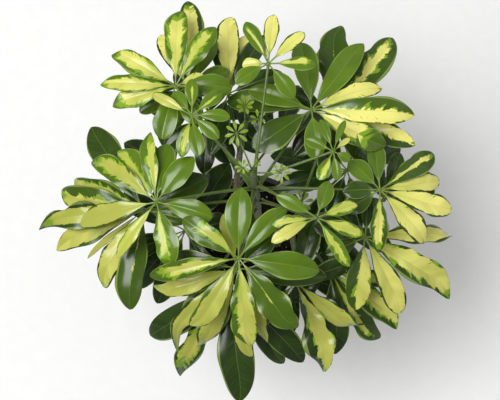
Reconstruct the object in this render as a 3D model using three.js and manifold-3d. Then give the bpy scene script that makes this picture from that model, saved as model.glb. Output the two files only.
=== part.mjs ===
// Potted umbrella plant: a dwarf umbrella tree with green and yellow leaves in a plain plastic pot.
// Millimetres, +Z up. The origin is the middle of the pot's underside, and -Y is the plant's front.
// An umbrella leaf is a long stalk that ends in a hub, with leaflets spread round it like ribs.

import * as THREE from "three";
import { mergeVertices } from "three/addons/utils/BufferGeometryUtils.js";
import Module from "manifold-3d";

const wasm = await Module();
wasm.setup();

// Gap between pieces that touch, and between the soil's faceted holes and what fills them
const GAP = 0.3;
const SOIL_GAP = 0.33;
const STEM_HOLE_GAP = 0.36;

// Corners nearer than this are one corner
const WELD = 1e-4;

// Pot
const POT_HEIGHT = 125;
const POT_BASE_RADIUS = 50;
const POT_RIM_RADIUS = 70;
const POT_WALL = 2;
const POT_FLOOR = 3;
const POT_TAPER = 16;
const FOOT_BEVEL = 1.5;
const COLLAR_HEIGHT = 20;
const COLLAR_STEP = 2.5;
const ROLLED_RIM = 3.5;
const RIM_ROUNDING = 1;
const POT_SIDES = 32;
const DRAIN_HOLES = 6;
const DRAIN_RADIUS = 4;
const DRAIN_RING = 34;
const DRAIN_SIDES = 6;
const DRILL_LENGTH = 12;

// Soil
const SOIL_EDGE_HEIGHT = 107;
const SOIL_CROWN = 6;
const SOIL_BUMP = 1.2;
const SOIL_RINGS = 4;
const SOIL_WAVES = { x: 0.13, y: 0.17, both: 0.31 };

// Stems: foot and top of the middle line, how far it sways between them, and radii at foot and top
const STEM_FOOT_HEIGHT = 70;
const STEM_SIDES = 8;
const STEM_RINGS = 8;
const STEMS = {
  main: { foot: [2, -1], top: [0, 0, 425], sway: [4, -3], radii: [5.5, 4] },
  back: { foot: [-16, 22], top: [-8, 60, 392], sway: [-6, -4], radii: [4.5, 3.2] },
  front: { foot: [24, -16], top: [45, -23, 314], sway: [3, 4], radii: [4.2, 3] },
};

// Leaf stalks and hubs
const STALK_SIDES = 5;
const STALK_RINGS = 5;
const STALK_RADIUS = 1.4;
const STALK_TAPER = 0.3;
const STALK_FOOT = 0.8;
const STALK_FOOT_FADE = 8;
const STALK_START = 0.22;
const STALK_END_OUT = 0.33;
const STALK_END_UP = 0.12;
const HUB_RADIUS = 2.6;
const HUB_HEIGHT = 3.6;
const HUB_SIDES = 6;

// Leaflets: a narrow stalklet, then a blade that is widest past its middle. Stations are shares of
// the blade's length where its outline has a corner.
const BLADE_THICKNESS = 0.8;
const BLADE_SWELL = 0.9;
const BLADE_BLUNTNESS = 0.5;
const BLADE_FOLD = 0.12;
const STALKLET_LENGTH = 9;
const STALKLET_WIDTH = 1.2;
const LONG_FROM = 108;
const LONG_STATIONS = [0.3, 0.6, 0.87, 1];
const SHORT_STATIONS = [0.38, 0.8, 1];

// Growing tips
const BUD_LENGTH = 13;
const BUD_SIDES = 7;
const BUD_GIRTHS = [[0, 0.95], [0.35, 0.9], [0.75, 0.5], [1, 0.15]];
const YOUNG_STALK_RADIUS = 0.9;
const YOUNG_STALK_RINGS = 3;
const ROSETTE_THICKNESS = 0.9;
const ROSETTE_NOTCH = 1.3;
const ROSETTE_WIDEST = 0.55;
const YOUNG_STALK_HEIGHT = 4.3;

const MATERIALS = {
  pot: { color: 0x2b2c2b, roughness: 0.55 },
  soil: { color: 0x3d2b20, roughness: 1 },
  stem: { color: 0x7a6a4b, roughness: 0.8 },
  tip: { color: 0xa3b552, roughness: 0.45 },
  young: { color: 0x9bab45, roughness: 0.35 },
  variegated: { color: 0x9cab58, roughness: 0.35 },
  green: { color: 0x587a30, roughness: 0.35 },
};

// Each leaf: the stem that bears it, the height of its foot there, its hub [x, y, z], how far the
// whole leaf tips outward, how steeply its leaflets leave the hub and how far they then bend down
// (degrees), its material, and its leaflets [direction, length, width, lift].
const LEAVES = {
  leaf_young_back: {
    stem: "main", at: 404, hub: [15, 108, 440], tilt: 0, rise: 14, bend: 28, look: "young",
    fan: [[42, 49, 14], [85, 52, 15], [102, 28, 7, -5], [119, 48, 15, 8], [180, 26, 13, -5],
      [212, 39, 16, 5], [306, 44, 17], [359, 47, 14]],
  },
  leaf_young_left: {
    stem: "main", at: 396, hub: [-60, 58, 430], tilt: 4, rise: 12, bend: 28, look: "young",
    fan: [[0, 38, 13], [40, 39, 14], [90, 39, 13, 2], [125, 32, 12, -3], [150, 46, 12, 3],
      [255, 43, 15, -5], [280, 43, 15, 5], [320, 36, 14]],
  },
  leaf_young_right: {
    stem: "main", at: 400, hub: [78, 22, 430], tilt: 4, rise: 10, bend: 26, look: "young",
    fan: [[40, 22, 6], [70, 35, 7], [110, 35, 9], [155, 30, 12], [243, 33, 12, 5],
      [279, 29, 10, -5], [333, 19, 10]],
  },
  leaf_young_front: {
    stem: "main", at: 392, hub: [61, -44, 430], tilt: 10, rise: 12, bend: 32, look: "young",
    fan: [[20, 44, 13], [70, 39, 16], [150, 45, 14], [188, 44, 12, -4], [208, 51, 14, 5],
      [305, 58, 14], [340, 49, 14]],
  },
  leaf_upper_back_left: {
    stem: "main", at: 350, hub: [-78, 96, 405], tilt: 2, rise: 16, bend: 32, look: "variegated",
    fan: [[22, 31, 12, -2], [58, 75, 22, 3], [90, 85, 25, -3], [151, 74, 22, 5], [178, 78, 19],
      [195, 68, 21, -6], [255, 57, 24, -4], [300, 48, 20, 4], [358, 58, 25, 2]],
  },
  leaf_upper_back_right: {
    stem: "main", at: 358, hub: [59, 73, 400], tilt: 4, rise: 14, bend: 34, look: "variegated",
    fan: [[23, 80, 19, -2], [53, 93, 25, 2], [97, 76, 26], [161, 68, 22, 3], [171, 88, 25, -4],
      [216, 73, 30], [275, 53, 22], [330, 84, 27, 4], [356, 106, 28, 7]],
  },
  leaf_upper_right: {
    stem: "main", at: 366, hub: [126, -10, 400], tilt: 14, rise: 14, bend: 38, look: "variegated",
    fan: [[12, 73, 20, -3], [35, 74, 22, 3], [95, 53, 20, -7], [136, 43, 20], [184, 40, 18, 4],
      [212, 43, 20, -4], [267, 63, 19], [315, 72, 24, -1], [346, 80, 23, 4]],
  },
  leaf_upper_left: {
    stem: "main", at: 372, hub: [-95, -24, 408], tilt: 16, rise: 14, bend: 38, look: "variegated",
    fan: [[51, 59, 24, 3], [82, 63, 26, -7], [100, 73, 18, 5], [121, 72, 23, -1], [142, 86, 23, 3],
      [190, 88, 22], [231, 70, 14], [284, 67, 24], [345, 59, 22, -4]],
  },
  leaf_upper_front: {
    stem: "main", at: 378, hub: [-14, -81, 415], tilt: 18, rise: 14, bend: 38, look: "variegated",
    fan: [[48, 68, 20, -1], [90, 70, 26], [145, 68, 22, 1], [190, 92, 19], [238, 85, 23],
      [275, 91, 25, -2], [308, 91, 29, 2], [352, 81, 27]],
  },
  leaf_middle_back_left: {
    stem: "back", at: 332, hub: [-68, 107, 365], tilt: 2, rise: 16, bend: 32, look: "variegated",
    fan: [[20, 48, 20, 6], [64, 64, 22, -2], [88, 99, 27, 2], [115, 69, 22, -2], [180, 62, 20, 3],
      [208, 57, 18, -3], [250, 50, 20, 3]],
  },
  leaf_middle_back: {
    stem: "back", at: 318, hub: [-26, 105, 350], tilt: 0, rise: 16, bend: 32, look: "variegated",
    fan: [[20, 62, 22, 5], [60, 78, 21, -2], [74, 78, 21, -9], [90, 86, 25, 2], [106, 63, 12, -1],
      [170, 50, 20], [254, 74, 26, 9], [306, 68, 22, 2], [342, 55, 20, -3]],
  },
  leaf_middle_back_right: {
    stem: "front", at: 304, hub: [83, 77, 362], tilt: 4, rise: 16, bend: 34, look: "variegated",
    fan: [[52, 114, 31, 2], [88, 108, 33, -2], [150, 60, 22], [225, 60, 24, -7], [264, 68, 24, -2],
      [305, 66, 24, 3], [338, 92, 24, 6]],
  },
  leaf_middle_right: {
    stem: "front", at: 296, hub: [134, -12, 362], tilt: 14, rise: 14, bend: 38, look: "green",
    fan: [[15, 62, 20], [69, 57, 18, 3], [105, 50, 20, -6], [190, 45, 18, 6]],
  },
  leaf_middle_front_right: {
    stem: "main", at: 322, hub: [114, -51, 362], tilt: 18, rise: 14, bend: 38, look: "variegated",
    fan: [[6, 105, 21], [85, 39, 14, 2], [114, 35, 14, -9], [135, 46, 20, -2], [168, 58, 24, 4],
      [205, 45, 18, -2], [260, 75, 26], [299, 90, 25, -1], [332, 118, 29, 1]],
  },
  leaf_middle_front: {
    stem: "front", at: 288, hub: [44, -96, 350], tilt: 18, rise: 12, bend: 38, look: "variegated",
    fan: [[20, 60, 20], [75, 68, 24], [222, 70, 22, 2], [293, 99, 28, 4], [322, 86, 22, -2]],
  },
  leaf_middle_front_left: {
    stem: "main", at: 334, hub: [-16, -85, 376], tilt: 18, rise: 14, bend: 38, look: "variegated",
    fan: [[40, 50, 20, 4], [74, 58, 14, -4], [104, 58, 16, 4], [170, 73, 20, -2], [198, 88, 21, 4],
      [223, 107, 20], [245, 100, 24, -4], [275, 96, 18, -5], [292, 82, 20, 4], [354, 92, 26]],
  },
  leaf_middle_left: {
    stem: "main", at: 320, hub: [-110, -24, 368], tilt: 12, rise: 14, bend: 36, look: "variegated",
    fan: [[25, 74, 28], [124, 113, 32], [156, 94, 24, -5], [168, 99, 27], [184, 117, 23, 5],
      [197, 109, 25, -4], [216, 82, 7, -5], [236, 90, 26], [260, 103, 31, 4], [345, 49, 18]],
  },
  leaf_lower_front_right: {
    stem: "front", at: 276, hub: [80, -82, 330], tilt: 18, rise: 12, bend: 40, look: "green",
    fan: [[95, 45, 18], [215, 50, 20], [277, 89, 27, 2], [305, 98, 23, -2], [328, 100, 26, 2],
      [354, 66, 18, -1]],
  },
  leaf_lower_front: {
    stem: "main", at: 290, hub: [-24, -99, 335], tilt: 18, rise: 14, bend: 38, look: "green",
    fan: [[170, 58, 22], [209, 105, 31, -4], [237, 111, 27, 1], [276, 122, 36, 8],
      [307, 103, 21, -7], [317, 112, 28, -2]],
  },
  leaf_low_left: {
    stem: "main", at: 252, hub: [-72, -34, 308], tilt: 12, rise: 14, bend: 36, look: "green",
    fan: [[10, 50, 24], [55, 88, 32], [100, 74, 24], [150, 88, 26], [200, 92, 26, 2],
      [225, 82, 26, -3], [250, 84, 26, 3], [300, 64, 22]],
  },
  leaf_low_back_left: {
    stem: "back", at: 262, hub: [-50, 90, 305], tilt: 8, rise: 14, bend: 34, look: "green",
    fan: [[15, 58, 22], [70, 70, 24], [120, 72, 24], [165, 68, 24], [215, 58, 22],
      [268, 62, 22, -7], [298, 58, 24], [332, 72, 24, -8]],
  },
  leaf_low_right: {
    stem: "front", at: 250, hub: [102, 34, 300], tilt: 12, rise: 14, bend: 36, look: "green",
    fan: [[25, 72, 24], [75, 72, 24], [130, 60, 22], [170, 86, 26, 2], [196, 84, 26, -4],
      [248, 54, 20, -3], [285, 60, 22, 3], [335, 72, 24]],
  },
  leaf_low_front_right: {
    stem: "front", at: 232, hub: [50, -78, 270], tilt: 14, rise: 14, bend: 36, look: "green",
    fan: [[30, 58, 22], [74, 90, 22, -1], [205, 58, 22], [255, 72, 24], [300, 78, 24], [345, 70, 24]],
  },
  leaf_base_front_left: {
    stem: "main", at: 200, hub: [-44, -72, 252], tilt: 14, rise: 14, bend: 36, look: "green",
    fan: [[195, 68, 24], [240, 76, 24], [285, 68, 24, 2]],
  },
  leaf_base_left: {
    stem: "back", at: 222, hub: [-84, 44, 262], tilt: 12, rise: 14, bend: 36, look: "green",
    fan: [[105, 70, 24], [150, 76, 24], [195, 70, 24], [240, 56, 22]],
  },
  leaf_base_back: {
    stem: "back", at: 205, hub: [28, 84, 252], tilt: 12, rise: 14, bend: 36, look: "green",
    fan: [[25, 70, 24], [70, 76, 24], [115, 70, 24]],
  },
  leaf_base_right: {
    stem: "front", at: 205, hub: [90, -20, 246], tilt: 12, rise: 14, bend: 36, look: "green",
    fan: [[30, 70, 24], [75, 56, 22], [255, 54, 22], [300, 68, 24], [345, 76, 24]],
  },
};

// Each growing tip: a bud on top of its stem and the tiny umbrella leaves that it has opened
const TIPS = {
  tip_main: {
    stem: "main",
    young: [
      { hub: [-16, 36, 445], rise: 12, bend: 40, count: 8, length: 13, width: 4.5, turn: 10 },
      { hub: [27, -2, 440], rise: 12, bend: 40, count: 8, length: 11, width: 4, turn: 0 },
      { hub: [-10, 3, 443], rise: 18, bend: 40, count: 7, length: 8, width: 3.5, turn: 20 },
      { hub: [4, 7, 441], rise: 40, bend: 20, count: 5, length: 5, width: 3, turn: 30 },
    ],
  },
  tip_back: {
    stem: "back",
    young: [
      { hub: [-8, 73, 412], rise: 48, bend: 20, count: 8, length: 13, width: 4.5, turn: 15 },
      { hub: [5, 61, 407], rise: 40, bend: 20, count: 6, length: 10, width: 4, turn: 40 },
    ],
  },
  tip_front: {
    stem: "front",
    young: [
      { hub: [52, -8, 332], rise: 20, bend: 30, count: 7, length: 13, width: 5, turn: 5 },
      { hub: [36, -34, 330], rise: 25, bend: 25, count: 6, length: 10, width: 4, turn: 25 },
    ],
  },
};

const EAST = new THREE.Vector3(1, 0, 0);
const NORTH = new THREE.Vector3(0, 1, 0);
const UP = new THREE.Vector3(0, 0, 1);
const radians = THREE.MathUtils.degToRad;
const mix = THREE.MathUtils.lerp;

function heading(degrees) {
  return new THREE.Vector3(Math.cos(radians(degrees)), Math.sin(radians(degrees)), 0);
}

function blend(first, share, second, otherShare) {
  return first.clone().multiplyScalar(share).addScaledVector(second, otherShare);
}

// Closed solid of a list of triangles, with the ones that have shrunk to a line left out
function solidOf(triangles) {
  const soup = new THREE.BufferGeometry().setFromPoints(triangles.flat());
  return solidFrom(soup);
}

function solidFrom(geometry) {
  const bare = geometry.clone();
  bare.deleteAttribute("normal");
  bare.deleteAttribute("uv");
  const merged = mergeVertices(bare, WELD);
  const corners = Array.from(merged.index.array);
  const kept = [];
  for (let i = 0; i < corners.length; i += 3) {
    const [a, b, c] = corners.slice(i, i + 3);
    if (a !== b && b !== c && c !== a) kept.push(a, b, c);
  }
  return new wasm.Manifold(new wasm.Mesh({
    numProp: 3,
    vertProperties: new Float32Array(merged.attributes.position.array),
    triVerts: new Uint32Array(kept),
  }));
}

function joined(solids) {
  return solids.reduce((whole, next) => whole.add(next));
}

function meshOf(name, solid, look) {
  const { vertProperties, triVerts } = solid.getMesh();
  const geometry = new THREE.BufferGeometry();
  geometry.setAttribute("position", new THREE.BufferAttribute(vertProperties, 3));
  geometry.setIndex(new THREE.BufferAttribute(triVerts, 1));
  geometry.computeVertexNormals();
  const mesh = new THREE.Mesh(geometry, new THREE.MeshStandardMaterial(MATERIALS[look]));
  mesh.name = name;
  return mesh;
}

// Ring of points about a middle, in the plane of two directions
function ring(middle, across, along, radius, sides) {
  return Array.from({ length: sides }, (_, i) => {
    const angle = (2 * Math.PI * i) / sides;
    return middle.clone()
      .addScaledVector(across, radius * Math.cos(angle))
      .addScaledVector(along, radius * Math.sin(angle));
  });
}

// Skin over a row of rings that turn anticlockwise about the way they follow each other
function loft(rings) {
  const triangles = [];
  const first = rings[0];
  const last = rings[rings.length - 1];
  for (let j = 1; j + 1 < first.length; j++) {
    triangles.push([first[0], first[j + 1], first[j]], [last[0], last[j], last[j + 1]]);
  }
  for (let i = 0; i + 1 < rings.length; i++) {
    for (let j = 0; j < first.length; j++) {
      const next = (j + 1) % first.length;
      triangles.push([rings[i][j], rings[i][next], rings[i + 1][next]]);
      triangles.push([rings[i][j], rings[i + 1][next], rings[i + 1][j]]);
    }
  }
  return solidOf(triangles);
}

// Pot: a lathed shell with a collar and a rolled rim, and drain holes round the middle of its floor

function innerRadius(height) {
  return POT_BASE_RADIUS - POT_WALL + POT_TAPER * (height / POT_HEIGHT);
}

function makePot() {
  const shoulder = POT_HEIGHT - COLLAR_HEIGHT;
  const outerRadius = (height) => innerRadius(height) + POT_WALL;
  const profile = [
    [0, 0],
    [POT_BASE_RADIUS - FOOT_BEVEL, 0],
    [POT_BASE_RADIUS, FOOT_BEVEL],
    [outerRadius(shoulder - COLLAR_STEP), shoulder - COLLAR_STEP],
    [outerRadius(shoulder) + COLLAR_STEP, shoulder],
    [outerRadius(POT_HEIGHT) + COLLAR_STEP, POT_HEIGHT - ROLLED_RIM],
    [POT_RIM_RADIUS, POT_HEIGHT - ROLLED_RIM + RIM_ROUNDING],
    [POT_RIM_RADIUS, POT_HEIGHT - RIM_ROUNDING],
    [POT_RIM_RADIUS - RIM_ROUNDING, POT_HEIGHT],
    [innerRadius(POT_HEIGHT) + RIM_ROUNDING, POT_HEIGHT],
    [innerRadius(POT_HEIGHT), POT_HEIGHT - RIM_ROUNDING],
    [innerRadius(POT_FLOOR), POT_FLOOR],
    [0, POT_FLOOR],
  ];
  const shell = lathed(profile, POT_SIDES);
  const hole = new THREE.CylinderGeometry(DRAIN_RADIUS, DRAIN_RADIUS, DRILL_LENGTH, DRAIN_SIDES);
  hole.rotateX(Math.PI / 2);
  const holes = Array.from({ length: DRAIN_HOLES }, (_, i) => {
    const place = heading((360 * i) / DRAIN_HOLES).multiplyScalar(DRAIN_RING);
    return solidFrom(hole.clone().translate(place.x, place.y, 0));
  });
  return shell.subtract(joined(holes));
}

function lathed(profile, sides) {
  const points = profile.map(([radius, height]) => new THREE.Vector2(radius, height));
  const geometry = new THREE.LatheGeometry(points, sides);
  geometry.rotateX(Math.PI / 2);
  return solidFrom(geometry);
}

// Soil: fills the pot to below its collar, lightly domed and uneven, with a plain hole for each stem

function soilBump(x, y) {
  const broad = Math.sin(SOIL_WAVES.x * x + 1) * Math.cos(SOIL_WAVES.y * y);
  return SOIL_BUMP * (broad + Math.sin(SOIL_WAVES.both * (x + y)) / 2);
}

function makeSoil() {
  const floor = POT_FLOOR + GAP;
  const reach = (height) => innerRadius(height) - SOIL_GAP;
  const profile = [[0, floor], [reach(floor), floor], [reach(SOIL_EDGE_HEIGHT), SOIL_EDGE_HEIGHT]];
  for (let i = 1; i <= SOIL_RINGS; i++) {
    const inward = i / SOIL_RINGS;
    profile.push([
      reach(SOIL_EDGE_HEIGHT) * (1 - inward),
      SOIL_EDGE_HEIGHT + SOIL_CROWN * Math.sin(inward * Math.PI / 2),
    ]);
  }
  const points = profile.map(([radius, height]) => new THREE.Vector2(radius, height));
  const geometry = new THREE.LatheGeometry(points, POT_SIDES);
  geometry.rotateX(Math.PI / 2);
  const place = geometry.attributes.position;
  for (let i = 0; i < place.count; i++) {
    const height = place.getZ(i);
    if (height > SOIL_EDGE_HEIGHT) {
      place.setZ(i, height + soilBump(place.getX(i), place.getY(i)));
    }
  }
  const holes = Object.values(STEMS).map((stem) => stemSolid(stem, STEM_HOLE_GAP, POT_HEIGHT));
  return solidFrom(geometry).subtract(joined(holes));
}

// Stems: slender, a little swayed, rooted well down in the soil

function stemPoint(stem, height) {
  const up = (height - STEM_FOOT_HEIGHT) / (stem.top[2] - STEM_FOOT_HEIGHT);
  const swing = Math.sin(Math.PI * up);
  return new THREE.Vector3(
    mix(stem.foot[0], stem.top[0], up) + stem.sway[0] * swing,
    mix(stem.foot[1], stem.top[1], up) + stem.sway[1] * swing,
    height,
  );
}

function stemRadius(stem, height) {
  const up = (height - STEM_FOOT_HEIGHT) / (stem.top[2] - STEM_FOOT_HEIGHT);
  return mix(stem.radii[0], stem.radii[1], up);
}

function stemSolid(stem, clearance = 0, top = stem.top[2]) {
  const bottom = STEM_FOOT_HEIGHT - clearance;
  const rings = Array.from({ length: STEM_RINGS + 1 }, (_, i) => {
    const height = mix(bottom, top, i / STEM_RINGS);
    const radius = stemRadius(stem, height) + clearance;
    return ring(stemPoint(stem, height), EAST, NORTH, radius, STEM_SIDES);
  });
  return loft(rings);
}

// Umbrella leaves

// Half of a blade's width, as a share of half its greatest, at a share of its length
function outline(share) {
  const widest = BLADE_SWELL / (BLADE_SWELL + BLADE_BLUNTNESS);
  const form = (s) => s ** BLADE_SWELL * (1 - s) ** BLADE_BLUNTNESS;
  return form(share) / form(widest);
}

// Point of an arch that leaves the hub at its own slope and bends down along a circle
function arch(leaf, direction, length, lift, share) {
  const start = radians(leaf.rise + lift - leaf.tilt * Math.cos(radians(direction - leaf.out)));
  const bend = radians(leaf.bend);
  const slope = start - bend * share;
  const reach = (length / bend) * (Math.sin(start) - Math.sin(slope));
  const rise = (length / bend) * (Math.cos(slope) - Math.cos(start));
  const forward = heading(direction);
  return {
    middle: leaf.hub.clone().addScaledVector(forward, reach).addScaledVector(UP, rise),
    level: blend(forward, -Math.sin(slope), UP, Math.cos(slope)),
  };
}

// One leaflet: arches away from the hub, rolls with the tilt of the whole leaf, and is folded a
// little along its midrib. Both faces are split into the same triangles.
function leaflet(leaf, [direction, length, width, lift = 0]) {
  const roll = radians(leaf.tilt * Math.sin(radians(direction - leaf.out)));
  const left = heading(direction + 90);
  const stations = length < LONG_FROM ? SHORT_STATIONS : LONG_STATIONS;
  const bladeStart = STALKLET_LENGTH / length;
  const shares = [0, bladeStart, ...stations.map((s) => mix(bladeStart, 1, s))];
  const rows = shares.map((share, i) => {
    const { middle, level } = arch(leaf, direction, length, lift, share);
    const side = blend(left, Math.cos(roll), level, Math.sin(roll));
    const normal = blend(level, Math.cos(roll), left, -Math.sin(roll));
    const half = i < 2 ? STALKLET_WIDTH / 2 : (width / 2) * outline(stations[i - 2]);
    const face = (offset) => [1, 0, -1].map((across) => middle.clone()
      .addScaledVector(side, across * half)
      .addScaledVector(normal, Math.abs(across) * BLADE_FOLD * half + offset));
    return { top: face(BLADE_THICKNESS / 2), under: face(-BLADE_THICKNESS / 2) };
  });
  const triangles = [];
  for (let i = 0; i + 1 < rows.length; i++) {
    const [a, b] = [rows[i], rows[i + 1]];
    for (const [p, q, turned] of [[a.top, b.top, false], [a.under, b.under, true]]) {
      const halves = [[p[1], q[1], q[0]], [p[1], q[0], p[0]], [p[1], p[2], q[2]], [p[1], q[2], q[1]]];
      triangles.push(...halves.map((t) => (turned ? [t[0], t[2], t[1]] : t)));
    }
    triangles.push([a.top[0], b.top[0], b.under[0]], [a.top[0], b.under[0], a.under[0]]);
    triangles.push([a.top[2], a.under[2], b.under[2]], [a.top[2], b.under[2], b.top[2]]);
  }
  const { top, under } = rows[0];
  triangles.push([top[0], under[0], under[1]], [top[0], under[1], top[1]]);
  triangles.push([top[1], under[1], under[2]], [top[1], under[2], top[2]]);
  return solidOf(triangles);
}

// Leaf stalk from its foot to the hub: rises first, then leans out. Its end at the foot lies in the
// plane of the sideways direction and footUp, so that it can lie flat against a stem.
function stalk(foot, leaf, footUp, radius, footSwell, steps) {
  const out = heading(leaf.out);
  const side = heading(leaf.out + 90);
  const length = foot.distanceTo(leaf.hub);
  const path = new THREE.CubicBezierCurve3(
    foot,
    foot.clone().addScaledVector(out, STALK_START * length).addScaledVector(UP, STALK_START * length),
    leaf.hub.clone()
      .addScaledVector(out, -STALK_END_OUT * length)
      .addScaledVector(UP, -STALK_END_UP * length),
    leaf.hub,
  );
  const rings = Array.from({ length: steps + 1 }, (_, i) => {
    const share = i / steps;
    const along = i === 0 ? footUp : path.getTangent(share).cross(side);
    const swell = footSwell * (1 - share) ** STALK_FOOT_FADE;
    const girth = radius * (1 + STALK_TAPER * (1 - share)) + swell;
    return ring(path.getPoint(share), side, along, girth, STALK_SIDES);
  });
  return loft(rings);
}

function makeLeaf(leaf) {
  const stem = STEMS[leaf.stem];
  const hub = new THREE.Vector3(...leaf.hub);
  const middle = stemPoint(stem, leaf.at);
  const out = THREE.MathUtils.radToDeg(Math.atan2(hub.y - middle.y, hub.x - middle.x));
  const stemUp = stemPoint(stem, leaf.at + 1).sub(middle).normalize();
  const foot = middle.addScaledVector(heading(out), stemRadius(stem, leaf.at) + GAP);
  const placed = { ...leaf, hub, out };
  const knob = new THREE.CylinderGeometry(HUB_RADIUS, HUB_RADIUS, HUB_HEIGHT, HUB_SIDES);
  knob.rotateX(Math.PI / 2).translate(...leaf.hub);
  return joined([
    stalk(foot, placed, stemUp, STALK_RADIUS, STALK_FOOT, STALK_RINGS),
    solidFrom(knob),
    ...leaf.fan.map((row) => leaflet(placed, row)),
  ]);
}

// Growing tips: a slim bud just clear of the stem's end, with tiny leaves rooted in it. A tiny leaf
// is one star-shaped plate of pointed lobes on its stalk.

function rosette(leaf, { count, length, width, turn }) {
  const rim = [];
  for (let i = 0; i < count; i++) {
    const direction = turn + (360 * i) / count;
    const { middle } = arch(leaf, direction, length, 0, ROSETTE_WIDEST);
    const { middle: point } = arch(leaf, direction, length, 0, 1);
    const { middle: notch } = arch(leaf, direction + 180 / count, ROSETTE_NOTCH, 0, 1);
    const left = heading(direction + 90).multiplyScalar(width / 2);
    rim.push(middle.clone().sub(left), point, middle.clone().add(left), notch);
  }
  const face = [];
  for (let i = 0; i < rim.length; i += 4) {
    const [right, point, left, notch] = rim.slice(i, i + 4);
    const before = rim[(i + rim.length - 1) % rim.length];
    face.push([point, left, notch], [point, notch, before], [point, before, right]);
    if (i > 0 && i + 4 < rim.length) face.push([rim[3], notch, rim[i + 7]]);
  }
  const lifted = (p) => blend(p, 1, UP, ROSETTE_THICKNESS / 2);
  const lowered = (p) => blend(p, 1, UP, -ROSETTE_THICKNESS / 2);
  const triangles = face.flatMap(([a, b, c]) => [[a, b, c].map(lifted), [a, c, b].map(lowered)]);
  rim.forEach((here, i) => {
    const next = rim[(i + 1) % rim.length];
    triangles.push([lifted(here), lowered(here), lowered(next)]);
    triangles.push([lifted(here), lowered(next), lifted(next)]);
  });
  return solidOf(triangles);
}

function makeTip({ stem: stemName, young }) {
  const stem = STEMS[stemName];
  const top = new THREE.Vector3(...stem.top);
  const base = blend(top, 1, UP, GAP);
  const bud = loft(BUD_GIRTHS.map(([up, girth]) => ring(
    blend(base, 1, UP, up * BUD_LENGTH), EAST, NORTH, girth * stem.radii[1], BUD_SIDES)));
  const leaves = young.flatMap((tiny) => {
    const hub = new THREE.Vector3(...tiny.hub);
    const out = THREE.MathUtils.radToDeg(Math.atan2(hub.y - top.y, hub.x - top.x));
    const leaf = { hub, out, tilt: 0, rise: tiny.rise, bend: tiny.bend };
    const foot = blend(base, 1, UP, YOUNG_STALK_HEIGHT);
    return [stalk(foot, leaf, UP, YOUNG_STALK_RADIUS, 0, YOUNG_STALK_RINGS), rosette(leaf, tiny)];
  });
  return joined([bud, ...leaves]);
}

const plant = new THREE.Group();
plant.add(meshOf("pot", makePot(), "pot"));
plant.add(meshOf("soil", makeSoil(), "soil"));
for (const [name, stem] of Object.entries(STEMS)) {
  plant.add(meshOf(`stem_${name}`, stemSolid(stem), "stem"));
}
for (const [name, tip] of Object.entries(TIPS)) {
  plant.add(meshOf(name, makeTip(tip), "tip"));
}
for (const [name, leaf] of Object.entries(LEAVES)) {
  plant.add(meshOf(name, makeLeaf(leaf), leaf.look));
}

export default plant;
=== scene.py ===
# Potted umbrella plant: a dwarf umbrella tree with green and yellow leaves, in a plain round pot.
# Blender works in metres, +Z up, and the plant's sizes are in millimetres. The origin is the middle
# of the pot's underside, and -Y is the plant's front.

import math

import bpy
import numpy as np
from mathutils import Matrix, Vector, noise


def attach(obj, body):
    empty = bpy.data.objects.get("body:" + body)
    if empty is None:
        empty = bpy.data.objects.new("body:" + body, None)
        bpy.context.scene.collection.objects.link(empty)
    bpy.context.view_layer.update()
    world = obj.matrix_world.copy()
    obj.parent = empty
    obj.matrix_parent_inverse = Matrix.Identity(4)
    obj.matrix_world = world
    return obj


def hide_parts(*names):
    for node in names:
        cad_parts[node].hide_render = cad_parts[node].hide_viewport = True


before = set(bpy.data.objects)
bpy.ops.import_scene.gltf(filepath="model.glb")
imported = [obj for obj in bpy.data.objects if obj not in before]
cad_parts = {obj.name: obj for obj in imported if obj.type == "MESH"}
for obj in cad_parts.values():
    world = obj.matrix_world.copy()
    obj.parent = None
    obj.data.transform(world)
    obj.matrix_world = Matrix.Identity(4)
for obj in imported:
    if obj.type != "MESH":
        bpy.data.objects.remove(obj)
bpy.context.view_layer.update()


# Pot: a round nursery pot, moulded in one piece from dark grey plastic, with a stepped collar, a
# rolled rim and six drain holes round the middle of its floor. It stands on its flat foot.

POT_HEIGHT = 125
POT_BASE_RADIUS = 50
POT_RIM_RADIUS = 70
POT_TAPER = 16
POT_WALL = 2
POT_FLOOR = 3
POT_COLLAR = 20
POT_STEP = 2.5
POT_ROLL = 3.5
POT_LIP = 0.6
POT_CORNER = 1.2
POT_SHARP_ANGLE = 40
POT_TURNS = 144
DRAINS = 6
DRAIN_RADIUS = 4
DRAIN_RING = 34
DRAIN_TURNS = 28
DRILL_REACH = (-5, 9)
NEAR_AXIS = 0.01


def paint(red, green, blue):
    """Colour of a paint chip, given as 0-255, in the light units that a shader wants."""
    chip = np.array([red, green, blue]) / 255
    linear = np.where(chip <= 0.04045, chip / 12.92, ((chip + 0.055) / 1.055) ** 2.4)
    return (*linear.tolist(), 1.0)


def wire(tree, socket, value):
    """Gives a socket its value, or links what makes the value."""
    if isinstance(value, bpy.types.NodeSocket):
        tree.links.new(value, socket)
    else:
        socket.default_value = value


def put(tree, kind, sockets=None, **settings):
    """Adds a node with its settings and sockets."""
    node = tree.nodes.new(kind)
    for key, value in settings.items():
        setattr(node, key, value)
    for key, value in (sockets or {}).items():
        wire(tree, node.inputs[key], value)
    return node


def calc(tree, operation, *values):
    """One sum on numbers that vary over the surface."""
    node = put(tree, "ShaderNodeMath", operation=operation)
    for socket, value in zip(node.inputs, values):
        wire(tree, socket, value)
    return node.outputs[0]


def fade(tree, value, start, end, low=0.0, high=1.0):
    """Soft step from low at start to high at end."""
    sockets = {"Value": value, "From Min": start, "From Max": end, "To Min": low, "To Max": high}
    return put(tree, "ShaderNodeMapRange", sockets, interpolation_type="SMOOTHSTEP").outputs[0]


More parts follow.
